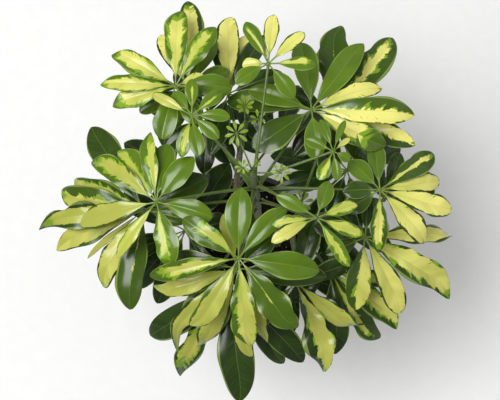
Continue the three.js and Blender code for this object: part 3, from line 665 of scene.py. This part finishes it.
def add_leaflet(growth, leaf, rng, rows, direction, length, width, lift, kind="D", *splash):
    """Leaflet that arches away from the hub, folded along its midrib, with a gently waved edge."""
    # Rows of points: five on the stalklet, the others on the blade and closer near its tip
    base = min(STALKLET_LENGTH, 0.2 * length) / length
    blade = 1 - (1 - np.linspace(0, 1, rows)) ** 1.3
    blade[-1] = 0.9985
    stalklet_rows = np.linspace(-0.1, 1, 5, endpoint=False) * base
    along = np.concatenate([stalklet_rows, base + (1 - base) * blade])
    share = np.clip((along - base) / (1 - base), 0, 1)

    # Midrib: it arches down from the hub, sways a little, and curls and hooks at its tip
    turned_away = math.radians(direction - leaf["out"])
    start = math.radians(leaf["rise"] + lift - leaf["tilt"] * math.cos(turned_away))
    bend = math.radians(leaf["bend"])
    slope = start - bend * along
    reach = length / bend * (math.sin(start) - np.sin(slope))
    climb = length / bend * (np.cos(slope) - math.cos(start))
    lively = LIVELINESS[kind] * length / 80
    curl = rng.choice(CURLS) * rng.uniform(0.6, 1) * lively
    climb = climb - curl * length * near_tip(share, CURL_START) ** 2
    forward, left = heading(direction), heading(direction + 90)
    hook = rng.choice(HOOKS) * HOOK_REACH * lively * near_tip(share, HOOK_START) ** 2
    sway = length * (rng.uniform(-0.03, 0.03) * (2.2 * share ** 2 - 1.2 * share) + hook)
    middle = leaf["hub"] + reach[:, None] * forward + climb[:, None] * UP + sway[:, None] * left

    # Roll: the whole leaf's tilt, the leaflet's own twist, and a crumpled leaflet's twisted tip
    level = -np.sin(slope)[:, None] * forward + np.cos(slope)[:, None] * UP
    twist = rng.uniform(-0.2, 0.2)
    tip_twist = math.copysign(TIP_TWIST.get(kind, 0), twist) * near_tip(share, TWIST_START) ** 1.5
    roll = math.radians(leaf["tilt"] * math.sin(turned_away))
    roll = (roll + twist * lively * along + tip_twist)[:, None]
    side = left * np.cos(roll) + level * np.sin(roll)
    normal = level * np.cos(roll) - left * np.sin(roll)

    # Outline and thickness: the stalklet is round, and the blade is widest past its middle
    bluntness = SLIM_TIP_BLUNTNESS if kind == "Y" else TIP_BLUNTNESS
    swell, blunt = rng.uniform(0.92, 1.1), rng.uniform(*bluntness)
    widest = swell / (swell + blunt)
    outline = (share / widest) ** swell * ((1 - share) / (1 - widest)) ** blunt
    stalklet = STALKLET_WIDTH / 2 * min(1, width / 12)
    half = np.maximum(width / 2 * outline, stalklet * (1 - share))
    lean = 1.03 + rng.uniform(-0.07, 0.07) * np.sign(BLADE_COLUMNS)
    thin = BLADE_THICKNESS * min(1, 0.5 + width / 40)
    thick = stalklet * 2 + (thin - stalklet * 2) * np.clip(share / 0.12, 0, 1)

    # Cross-section: folded at the midrib, swollen beside it, and waved at both edges
    columns = BLADE_COLUMNS[None, :]
    over = half[:, None] * columns * lean
    fold = rng.uniform(*BLADE_FOLD) * (np.sqrt(columns ** 2 + 0.006) - 0.077)
    swelling = rng.uniform(*BLADE_SWELLING) * np.sin(math.pi * np.abs(columns)) ** 2
    raised = half[:, None] * (fold + swelling)
    ends = np.sin(math.pi * share)[:, None]
    for edge in (1, -1):
        beat, late = rng.uniform(1.3, 3.2), rng.uniform(0, 2 * math.pi)
        swing = rng.uniform(0.03, 0.08) * lively
        turn = 2 * math.pi * beat * share[:, None] + late
        edgeward = np.clip(edge * columns, 0, 1)
        raised = raised + swing * width * np.sin(turn) * ends * edgeward ** 2
        over = over * (1 + 1.5 * swing * np.cos(turn) * ends * edgeward)
    groove = np.exp(-(over / 0.8) ** 2) * np.clip(share * 8, 0, 1)[:, None] * (1 - share[:, None])
    lens = thick[:, None] / 2 * np.sqrt(np.clip(1 - columns ** 2, 0, 1))

    def sheet(rise):
        """Grid of points at a height above the middle of the blade."""
        return middle[:, None] + over[..., None] * side[:, None] + rise[..., None] * normal[:, None]

    top = sheet(raised + lens - 0.3 * groove)
    below = sheet(raised - lens - 0.45 * groove)
    rings = np.concatenate([top, below[:, -2:0:-1]], 1)

    # Marks for the skin: place on the blade, depth of green with painted shade on the lower leaves,
    # reach of the yellow, and own traits, one of which is painted shade that dulls the yellow to
    # olive on leaves towards the plant's front and left
    count = len(BLADE_COLUMNS)
    reel = np.concatenate([np.arange(count), np.arange(count - 2, 0, -1)])
    lower = np.concatenate([np.zeros(count), np.ones(count - 2)])
    ones = np.ones(rings.shape[:2])
    in_mm = (along - base)[:, None] * length
    hub_x, hub_y, hub_z = leaf["hub"]
    # Partly painted shade: the green deepens as the hub sits lower
    depth_and_shade = DEPTHS[kind] + rng.uniform(-0.12, 0.12) + (DEPTH_LEVEL - hub_z) / DEPTH_AND_SHADE_DROP
    jagged = kind == "L" or splash and min(splash[:2]) < 0.6
    wild = min(1, 0.4 + max(splash[:2])) if jagged else CALM_EDGE
    seed = rng.uniform(0, 1)
    # Painted shade: the yellow of leaves nearer the plant's front and left is dulled towards olive
    tan = rng.uniform(0.2, 0.7) - hub_y / 180 - hub_x / 250
    growth.add(
        rings, BLADE,
        place=np.stack([in_mm * ones, over[:, reel], half[:, None] * ones], -1),
        blade=np.stack([share[:, None] * ones, lower * ones, depth_and_shade * ones], -1),
        gold=np.array(splash or (ALL_YELLOW if kind == "Y" else ALL_GREEN)),
        own=np.array([seed, wild, tan]))


def add_stalk(growth, foot, leaf, foot_up, radius, flare, rings=26, around=12):
    """Leaf stalk: rises from its foot, then leans out to the hub, where the leaflets meet."""
    out, aside = heading(leaf["out"]), heading(leaf["out"] + 90)
    hub = leaf["hub"]
    length = np.linalg.norm(hub - foot)
    rising, arriving = foot + 0.22 * length * (out + UP), hub - length * (0.33 * out + 0.12 * UP)
    share = np.linspace(0, 1, rings)
    path = sum(np.outer(math.comb(3, k) * share ** k * (1 - share) ** (3 - k), knot)
               for k, knot in enumerate([foot, rising, arriving, hub]))
    tangent = np.gradient(path, axis=0)
    upward = np.cross(tangent / np.linalg.norm(tangent, axis=1, keepdims=True), aside)
    upward[0] = foot_up
    path[0] -= out * STALK_SINK
    girth = radius * (1 + STALK_TAPER * (1 - share)) + flare * (1 - share) ** 8
    girth = girth + 0.35 * radius * np.exp(-((1 - share) / 0.04) ** 2)
    turns = np.linspace(0, 2 * math.pi, around, endpoint=False)[None, :, None]
    circle = np.cos(turns) * aside + np.sin(turns) * upward[:, None]
    growth.add(path[:, None] + girth[:, None, None] * circle, STALK)


def add_knob(growth, middle, radius, height, around=16):
    """Rounded knob."""
    rise = np.linspace(-0.5, 0.5, 9)[:, None, None] * math.pi * 0.98
    flat = np.cos(rise) * level_circle(around)[1] * radius
    growth.add(middle + flat + np.sin(rise) * UP * height / 2, STALK)


def grow_leaf(name, slot, stem, at, hub, tilt, fan, rise=14, bend=36):
    """One umbrella leaf on its stem."""
    node = f"leaf_{name}"
    rng = np.random.default_rng(list(node.encode()))
    stem = STEMS[stem]
    middle, hub = stem_point(stem, at), np.array(hub, float)
    out = math.degrees(math.atan2(hub[1] - middle[1], hub[0] - middle[0]))
    leaf = dict(hub=hub, out=out, tilt=tilt, rise=rise, bend=bend)
    foot = middle + heading(out) * (stem_radius(stem, at) + STALK_GAP)
    foot_up = stem_point(stem, at + 1) - middle
    foot_up = foot_up / np.linalg.norm(foot_up)
    growth = Growth()
    add_stalk(growth, foot, leaf, foot_up, STALK_RADIUS, STALK_FLARE)
    add_knob(growth, hub, KNOB_RADIUS, KNOB_HEIGHT)
    for leaflet in fan:
        add_leaflet(growth, leaf, rng, BLADE_ROWS, *leaflet)
    growth.piece(f"{name}_leaf", node, slot, LEAF_SKIN, STALK_SKIN)


LEAF_SKIN = leaf_skin()
STALK_SKIN = stalk_skin()

# A leaf grows at a height on its stem out to its hub. Each leaflet of its fan has a direction, a
# length, a width, a lift and a kind.
YOUNG_LEAVES = {
    "young_back": dict(
        stem="main", at=404, hub=(15, 108, 440), tilt=0, bend=28,
        fan=[(42, 49, 14, 0, "Y"), (85, 52, 15, 0, "Y"), (102, 28, 7, -5, "Y"),
             (119, 48, 15, 8, "L", 0.25, 0.2, 0.7), (180, 26, 13, -5, "Y"), (212, 39, 16, 5, "G"),
             (306, 44, 17, 0, "G"), (359, 47, 14, 0, "L", 0.6, 0.03, 0.75)]),
    "young_left": dict(
        stem="main", at=396, hub=(-60, 58, 430), tilt=4, rise=12, bend=28,
        fan=[(0, 38, 13, 0, "G"), (40, 39, 14, 0, "L", 0.1, 0.2, 0.7),
             (90, 39, 13, 2, "L", 0.15, 0.1, 0.7), (125, 32, 12, -3, "G"), (150, 46, 12, 3, "Y"),
             (255, 43, 15, -5, "L", 0.5, 0.4, 0.85), (280, 43, 15, 5, "G"), (320, 36, 14, 0, "G")]),
    "young_right": dict(
        stem="main", at=400, hub=(78, 22, 430), tilt=4, rise=10, bend=26,
        fan=[(40, 22, 6, 0, "Y"), (70, 35, 7, 0, "G"), (110, 35, 9, 0, "G"), (155, 30, 12, 0, "G"),
             (243, 33, 12, 5, "L", 0.7, 0.1, 0.8), (279, 29, 10, -5, "G"), (333, 19, 10, 0, "G")]),
    "young_front": dict(
        stem="main", at=392, hub=(61, -44, 430), tilt=10, rise=12, bend=32,
        fan=[(20, 44, 13, 0, "L", 0.8, 0.5, 0.95), (70, 39, 16, 0, "G"), (150, 45, 14, 0, "G"),
             (188, 44, 12, -4, "L", 0.5, 0.45, 0.9), (208, 51, 14, 5, "Y"),
             (305, 58, 14, 0, "L", 0.3, 0.5, 0.9), (340, 49, 14, 0, "L", 0.75, 0.6, 0.9)]),
}

for name, leaf in YOUNG_LEAVES.items():
    grow_leaf(name, "young_leaf", **leaf)


# Upper leaves: the five grown leaves that ring the tip of the main stem. Their leaflets are
# leathery and glossy, most of them splashed or almost filled with yellow.

UPPER_LEAVES = {
    "upper_back_left": dict(
        stem="main", at=350, hub=(-78, 96, 405), tilt=2, rise=16, bend=32,
        fan=[(22, 31, 12, -2, "Y"), (58, 75, 22, 3, "L", 0.5, 0.12, 0.82),
             (90, 85, 25, -3, "L", 0.5, 0.55, 0.8), (151, 74, 22, 5, "L", 0.6, 0.75, 0.85),
             (178, 78, 19, 0, "L", 0.8, 0.5, 0.9), (195, 68, 21, -6, "L", 0.7, 0.8, 0.8),
             (255, 57, 24, -4, "G"), (300, 48, 20, 4, "G"), (358, 58, 25, 2, "G")]),
    "upper_back_right": dict(
        stem="main", at=358, hub=(59, 73, 400), tilt=4, bend=34,
        fan=[(23, 80, 19, -2, "Y"), (53, 93, 25, 2, "G"), (97, 76, 26, 0, "G"),
             (161, 68, 22, 3, "G"), (171, 88, 25, -4), (216, 73, 30, 0), (275, 53, 22, 0, "G"),
             (330, 84, 27, 2, "V", 0.75, 0.55, 0.64), (356, 106, 28, 8, "V", 0.12, 0.97, 1.1)]),
    "upper_right": dict(
        stem="main", at=366, hub=(126, -10, 400), tilt=14, bend=38,
        fan=[(12, 73, 20, -3, "Y"), (35, 74, 22, 3, "V", 0.25, 0.15, 0.82), (95, 53, 20, -7, "G"),
             (136, 43, 20, 0, "G"), (184, 40, 18, 4), (212, 43, 20, -4),
             (267, 63, 19, 0, "V", 0.4, 0.45, 0.82), (315, 72, 24, -1, "Y"),
             (346, 80, 23, 4, "Y")]),
    "upper_left": dict(
        stem="main", at=372, hub=(-95, -24, 408), tilt=16, bend=38,
        fan=[(51, 59, 24, 3, "G"), (82, 63, 26, -7, "G"), (100, 73, 18, 5, "L", 0.05, 0.85, 0.8),
             (121, 72, 23, -1, "L", 0.6, 0.1, 0.88), (142, 86, 23, 3, "V", 0.42, 0.65, 0.88),
             (190, 88, 22, 0, "Y"), (231, 70, 14, 0, "L", 0.95, 0.75, 1.1),
             (284, 67, 24, 0, "L", 0.02, 0.55, 0.75), (345, 59, 22, -4, "G")]),
    "upper_front": dict(
        stem="main", at=378, hub=(-14, -81, 415), tilt=18, bend=38,
        fan=[(48, 68, 20, -1, "G"), (90, 70, 26, 0, "G"), (145, 68, 22, 1, "V", 0.03, 0.75, 0.62),
             (190, 92, 19, 0, "V", 0.5, 0.45, 0.75), (238, 85, 23, 0, "V", 0.95, 0.72, 1.1),
             (275, 91, 25, -2, "V", 0.95, 0.4, 1), (308, 91, 29, 2, "V", -0.1, 0.06, 0.55),
             (352, 81, 27, 0, "G")]),
}

for name, leaf in UPPER_LEAVES.items():
    grow_leaf(name, "variegated_leaf", **leaf)


# Middle leaves: the ten widest, which reach out from between the upper ones to the plant's
# outline. Those in the light are yellow and green, and the shaded ones are mostly deep green.

MIDDLE_LEAVES = {
    "middle_back_left": dict(
        stem="back", at=332, hub=(-68, 107, 365), tilt=2, rise=16, bend=32,
        fan=[(20, 48, 20, 6, "G"), (64, 64, 22, -2, "G"), (88, 99, 27, 2, "V", 0.65, 0.6, 0.85),
             (115, 69, 22, -2, "Y"), (180, 62, 20, 3, "G"), (208, 57, 18, -3, "G"),
             (250, 50, 20, 3, "G")]),
    "middle_back": dict(
        stem="back", at=318, hub=(-26, 105, 350), tilt=0, rise=16, bend=32,
        fan=[(20, 62, 22, 5), (60, 78, 21, -2), (74, 78, 21, -9, "Y"), (90, 86, 25, 2, "Y"),
             (106, 63, 12, -1), (170, 50, 20, 0), (254, 74, 26, 9), (306, 68, 22, 2),
             (342, 55, 20, -3)]),
    "middle_back_right": dict(
        stem="front", at=304, hub=(83, 77, 362), tilt=4, rise=16, bend=34,
        fan=[(52, 114, 31, 2, "V", 0.35, 0.3, 0.85), (88, 108, 33, -2, "V", -0.02, -0.12, 0.6),
             (150, 60, 22, 0), (225, 60, 24, -7), (264, 68, 24, -2), (305, 66, 24, 3),
             (338, 92, 24, 6, "V", 0.9, 0.12, 0.95)]),
    "middle_right": dict(
        stem="front", at=296, hub=(134, -12, 362), tilt=14, bend=38,
        fan=[(15, 62, 20, 0), (69, 57, 18, 3), (105, 50, 20, -6), (190, 45, 18, 6)]),
    "middle_front_right": dict(
        stem="main", at=322, hub=(114, -51, 362), tilt=18, bend=38,
        fan=[(6, 105, 21, 0, "C", 0.75, 0.8, 1), (85, 39, 14, 2), (114, 35, 14, -9),
             (135, 46, 20, -2), (168, 58, 24, 4), (205, 45, 18, -2),
             (260, 75, 26, 0, "V", 0.97, 0.05, 1.2), (299, 90, 25, -1, "Y"),
             (332, 118, 29, 1, "V", 0.97, 0.58, 0.92)]),
    "middle_front": dict(
        stem="front", at=288, hub=(44, -96, 350), tilt=18, rise=12, bend=38,
        fan=[(20, 60, 20, 0), (75, 68, 24, 0), (222, 70, 22, 2),
             (293, 99, 28, 4, "C", 0.92, 0.3, 0.95), (322, 86, 22, -2, "C", 0.9, 0.88, 0.82)]),
    "middle_front_left": dict(
        stem="main", at=334, hub=(-16, -85, 376), tilt=18, bend=38,
        fan=[(40, 50, 20, 4), (74, 58, 14, -4), (104, 58, 16, 4, "Y"), (170, 73, 20, -2),
             (198, 88, 21, 8, "C", 0.9, 0.86, 0.97), (223, 107, 20, 1, "C", 0.85, 0.8, 0.93),
             (245, 100, 24, -8, "C", 0.8, 0.85, 0.9), (275, 96, 18, -3, "Y"),
             (292, 82, 20, 4, "C", 0.85, 0.8, 0.93), (354, 92, 26, 0)]),
    "middle_left": dict(
        stem="main", at=320, hub=(-110, -24, 368), tilt=12,
        fan=[(25, 74, 28, 0), (124, 113, 32, 0), (156, 94, 24, -5, "V", 0.9, 0.5, 0.95),
             (168, 99, 27, 0, "V", 0.8, 0.15, 0.93), (184, 117, 23, 5, "C", 0.65, 0.7, 0.85),
             (197, 109, 25, -4, "V", 0.85, 0.97, 1.2), (216, 82, 7, -5, "Y"), (236, 90, 26, 0, "Y"),
             (260, 103, 31, 4, "V", 0.04, 0, 0.6), (345, 49, 18, 0, "G")]),
    "lower_front_right": dict(
        stem="front", at=276, hub=(80, -82, 330), tilt=18, rise=12, bend=40,
        fan=[(95, 45, 18, 0), (215, 50, 20, 0), (277, 89, 27, 5),
             (305, 98, 23, -3, "V", -0.1, 0.5, 0.8), (328, 100, 26, 2, "V", 0.8, 0.3, 0.92),
             (354, 66, 18, -1, "C", 0.5, 0.5, 0.9)]),
    "lower_front": dict(
        stem="main", at=290, hub=(-24, -99, 335), tilt=18, bend=38,
        fan=[(170, 58, 22, 0), (209, 105, 31, -4), (237, 111, 27, 1, "C", 0.55, 0.7, 0.78),
             (276, 122, 36, 6), (307, 103, 21, -7), (317, 112, 28, -2)]),
}

SHADED = ("middle_right", "lower_front_right", "lower_front")

for name, leaf in MIDDLE_LEAVES.items():
    grow_leaf(name, "green_leaf" if name in SHADED else "variegated_leaf", **leaf)


# Low leaves: the oldest eight, on the bare part of the stems, in the shade of all the others. They
# are wholly deep green, partly their own colour and partly painted shade, and fill the plant out
# below.

LOW_LEAVES = {
    "low_left": dict(
        stem="main", at=252, hub=(-72, -34, 308), tilt=12,
        fan=[(10, 50, 24, 0), (55, 88, 32, 0), (100, 74, 24, 0), (150, 88, 26, 0), (200, 92, 26, 2),
             (225, 82, 26, -3), (250, 84, 26, 3), (300, 64, 22, 0)]),
    "low_back_left": dict(
        stem="back", at=262, hub=(-50, 90, 305), tilt=8, bend=34,
        fan=[(15, 58, 22, 0), (70, 70, 24, 0), (120, 72, 24, 0), (165, 68, 24, 0), (215, 58, 22, 0),
             (268, 62, 22, -7), (296, 58, 24, 0), (332, 72, 24, -8)]),
    "low_right": dict(
        stem="front", at=250, hub=(102, 34, 300), tilt=12,
        fan=[(25, 72, 24, 0), (75, 72, 24, 0), (130, 60, 22, 0), (170, 86, 26, 2),
             (196, 84, 26, -4), (248, 54, 20, -3), (285, 60, 22, 3), (335, 72, 24, 0)]),
    "low_front_right": dict(
        stem="front", at=232, hub=(50, -78, 270), tilt=14,
        fan=[(30, 58, 22, 0), (74, 90, 22, -1), (205, 58, 22, 0), (255, 72, 24, 0),
             (300, 78, 24, 0), (345, 70, 24, 0)]),
    "base_front_left": dict(
        stem="main", at=200, hub=(-44, -72, 252), tilt=14,
        fan=[(195, 68, 24, 0), (240, 76, 24, 0), (285, 68, 24, 2)]),
    "base_left": dict(
        stem="back", at=222, hub=(-84, 44, 262), tilt=12,
        fan=[(105, 70, 24, 0), (150, 76, 24, 0), (195, 70, 24, 0), (240, 56, 22, 0)]),
    "base_back": dict(
        stem="back", at=205, hub=(28, 84, 252), tilt=12,
        fan=[(25, 70, 24, 0), (70, 76, 24, 0), (115, 70, 24, 0)]),
    "base_right": dict(
        stem="front", at=205, hub=(90, -20, 246), tilt=12,
        fan=[(30, 70, 24, 0), (75, 56, 22, 0), (255, 54, 22, 0), (300, 68, 24, 0),
             (345, 76, 24, 0)]),
}

for name, leaf in LOW_LEAVES.items():
    grow_leaf(name, "green_leaf", **leaf)


# Growing tips: the soft bud at the end of each stem, wrapped in pointed scales, and the tiny pale
# umbrella leaves that it has just opened, each on a thread of a stalk.

BUD_LENGTH = 13
BUD_SINK = 1
BUD_RINGS = 18
BUD_TURNS = 20
BUD_GIRTH = ([0, 0.35, 0.75, 1], [0.95, 0.88, 0.5, 0.12])
THREAD_RADIUS = 0.7
THREAD_HEIGHT = 4.6
THREAD_KNOB = (0.9, 1.2)
TINY_ROWS = 10
TINY_SLIMNESS = 0.75
TIPS = {
    "main": [
        dict(hub=(-16, 36, 445), rise=12, bend=40, count=8, length=13, width=4.5, turn=10),
        dict(hub=(27, -2, 440), rise=12, bend=40, count=8, length=11, width=4, turn=0),
        dict(hub=(-10, 3, 443), rise=18, bend=40, count=7, length=8, width=3.5, turn=20),
        dict(hub=(4, 7, 441), rise=40, bend=20, count=5, length=5, width=3, turn=30),
    ],
    "back": [
        dict(hub=(-8, 73, 412), rise=48, bend=20, count=8, length=13, width=4.5, turn=15),
        dict(hub=(5, 61, 407), rise=40, bend=20, count=6, length=10, width=4, turn=40),
    ],
    "front": [
        dict(hub=(52, -8, 332), rise=20, bend=30, count=7, length=13, width=5, turn=5),
        dict(hub=(36, -34, 330), rise=25, bend=25, count=6, length=10, width=4, turn=25),
    ],
}


def grow_tip(name, tiny_leaves):
    """Bud and tiny leaves at the end of one stem."""
    rng = np.random.default_rng(list(name.encode()))
    stem = STEMS[name]
    top = np.array(stem["top"], float)
    growth = Growth()
    turns, circle = level_circle(BUD_TURNS)
    share = np.linspace(0, 1, BUD_RINGS)[:, None]
    scales = 1 + 0.07 * np.cos(3 * turns + 5 * share)
    girth = stem["radii"][1] * np.interp(share, *BUD_GIRTH) * scales
    climb = share * (BUD_LENGTH + BUD_SINK) - BUD_SINK
    growth.add(top + girth[..., None] * circle + climb[..., None] * UP, STALK)
    for tiny in tiny_leaves:
        hub = np.array(tiny["hub"], float)
        out = math.degrees(math.atan2(hub[1] - top[1], hub[0] - top[0]))
        leaf = dict(hub=hub, out=out, tilt=0, rise=tiny["rise"], bend=tiny["bend"])
        foot = top + UP * THREAD_HEIGHT
        add_stalk(growth, foot, leaf, UP, THREAD_RADIUS, flare=0, rings=14, around=8)
        add_knob(growth, hub, *THREAD_KNOB, around=8)
        for number in range(tiny["count"]):
            direction = tiny["turn"] + 360 * number / tiny["count"] + rng.uniform(-5, 5)
            length = tiny["length"] * rng.uniform(0.88, 1.05)
            width = tiny["width"] * TINY_SLIMNESS
            lift = rng.uniform(-4, 4)
            add_leaflet(growth, leaf, rng, TINY_ROWS, direction, length, width, lift, "N")
    growth.piece(f"{name}_growing_tip", f"tip_{name}", "tip", LEAF_SKIN, STALK_SKIN)


for name, tiny_leaves in TIPS.items():
    grow_tip(name, tiny_leaves)


# Photographer's table and light, in metres: a plain pale sheet, three soft lamps, the strongest
# above and a little to the left, a dim white room, and a camera that looks down on the plant.

SHEET_SIZE = 6
PAPER_TONES = [(0.91, 0.91, 0.91, 1), (0.93, 0.93, 0.925, 1)]
ROOM_LIGHT = 0.32
LAMP_AIM = (0, 0, 0.35)
LAMPS = [
    dict(name="key lamp", place=(-0.85, -0.2, 2.4), size=1.2, power=49),
    dict(name="back lamp", place=(0.6, 1.9, 1.8), size=2.4, power=5),
    dict(name="right lamp", place=(1.8, 0.2, 1.7), size=2.0, power=7),
]
CAMERA_LENS = 85.1
CAMERA_ELEVATION = math.radians(78)
CAMERA_DISTANCE = 1.182
CAMERA_TARGET = Vector((-0.003, -0.018, 0.39))


def pale_sheet():
    """Smooth white background paper."""
    material, tree, skin, where = new_finish("white paper", Roughness=0.9, Specular_IOR_Level=0.1)
    fibre = fade(tree, grain(tree, where, 60), 0.3, 0.7)
    wire(tree, skin.inputs["Base Color"], tinted(tree, fibre, *PAPER_TONES))
    return material


def soft_lamp(name, place, size, power):
    """Square lamp that shines on the plant from a place, in metres and watts."""
    light = bpy.data.lights.new(name, "AREA")
    light.size = size
    light.energy = power
    lamp = bpy.data.objects.new(name, light)
    lamp.location = place
    lamp.rotation_euler = (Vector(LAMP_AIM) - Vector(place)).to_track_quat("-Z", "Y").to_euler()
    bpy.context.scene.collection.objects.link(lamp)


bpy.ops.mesh.primitive_plane_add(size=SHEET_SIZE, location=(0, 0, 0))
sheet = bpy.context.object
sheet.name = "white_sheet"
sheet.data.materials.append(pale_sheet())

room = bpy.data.worlds.new("white room")
room.use_nodes = True
room.node_tree.nodes["Background"].inputs["Color"].default_value = (1, 1, 1, 1)
room.node_tree.nodes["Background"].inputs["Strength"].default_value = ROOM_LIGHT
bpy.context.scene.world = room

for lamp in LAMPS:
    soft_lamp(**lamp)

view = bpy.data.cameras.new("camera")
view.lens = CAMERA_LENS
camera = bpy.data.objects.new("camera", view)
towards = Vector((0, -math.cos(CAMERA_ELEVATION), math.sin(CAMERA_ELEVATION)))
camera.location = CAMERA_TARGET + CAMERA_DISTANCE * towards
camera.rotation_euler = (-towards).to_track_quat("-Z", "Y").to_euler()
bpy.context.scene.collection.objects.link(camera)
bpy.context.scene.camera = camera
bpy.context.scene.view_settings.view_transform = "Standard"
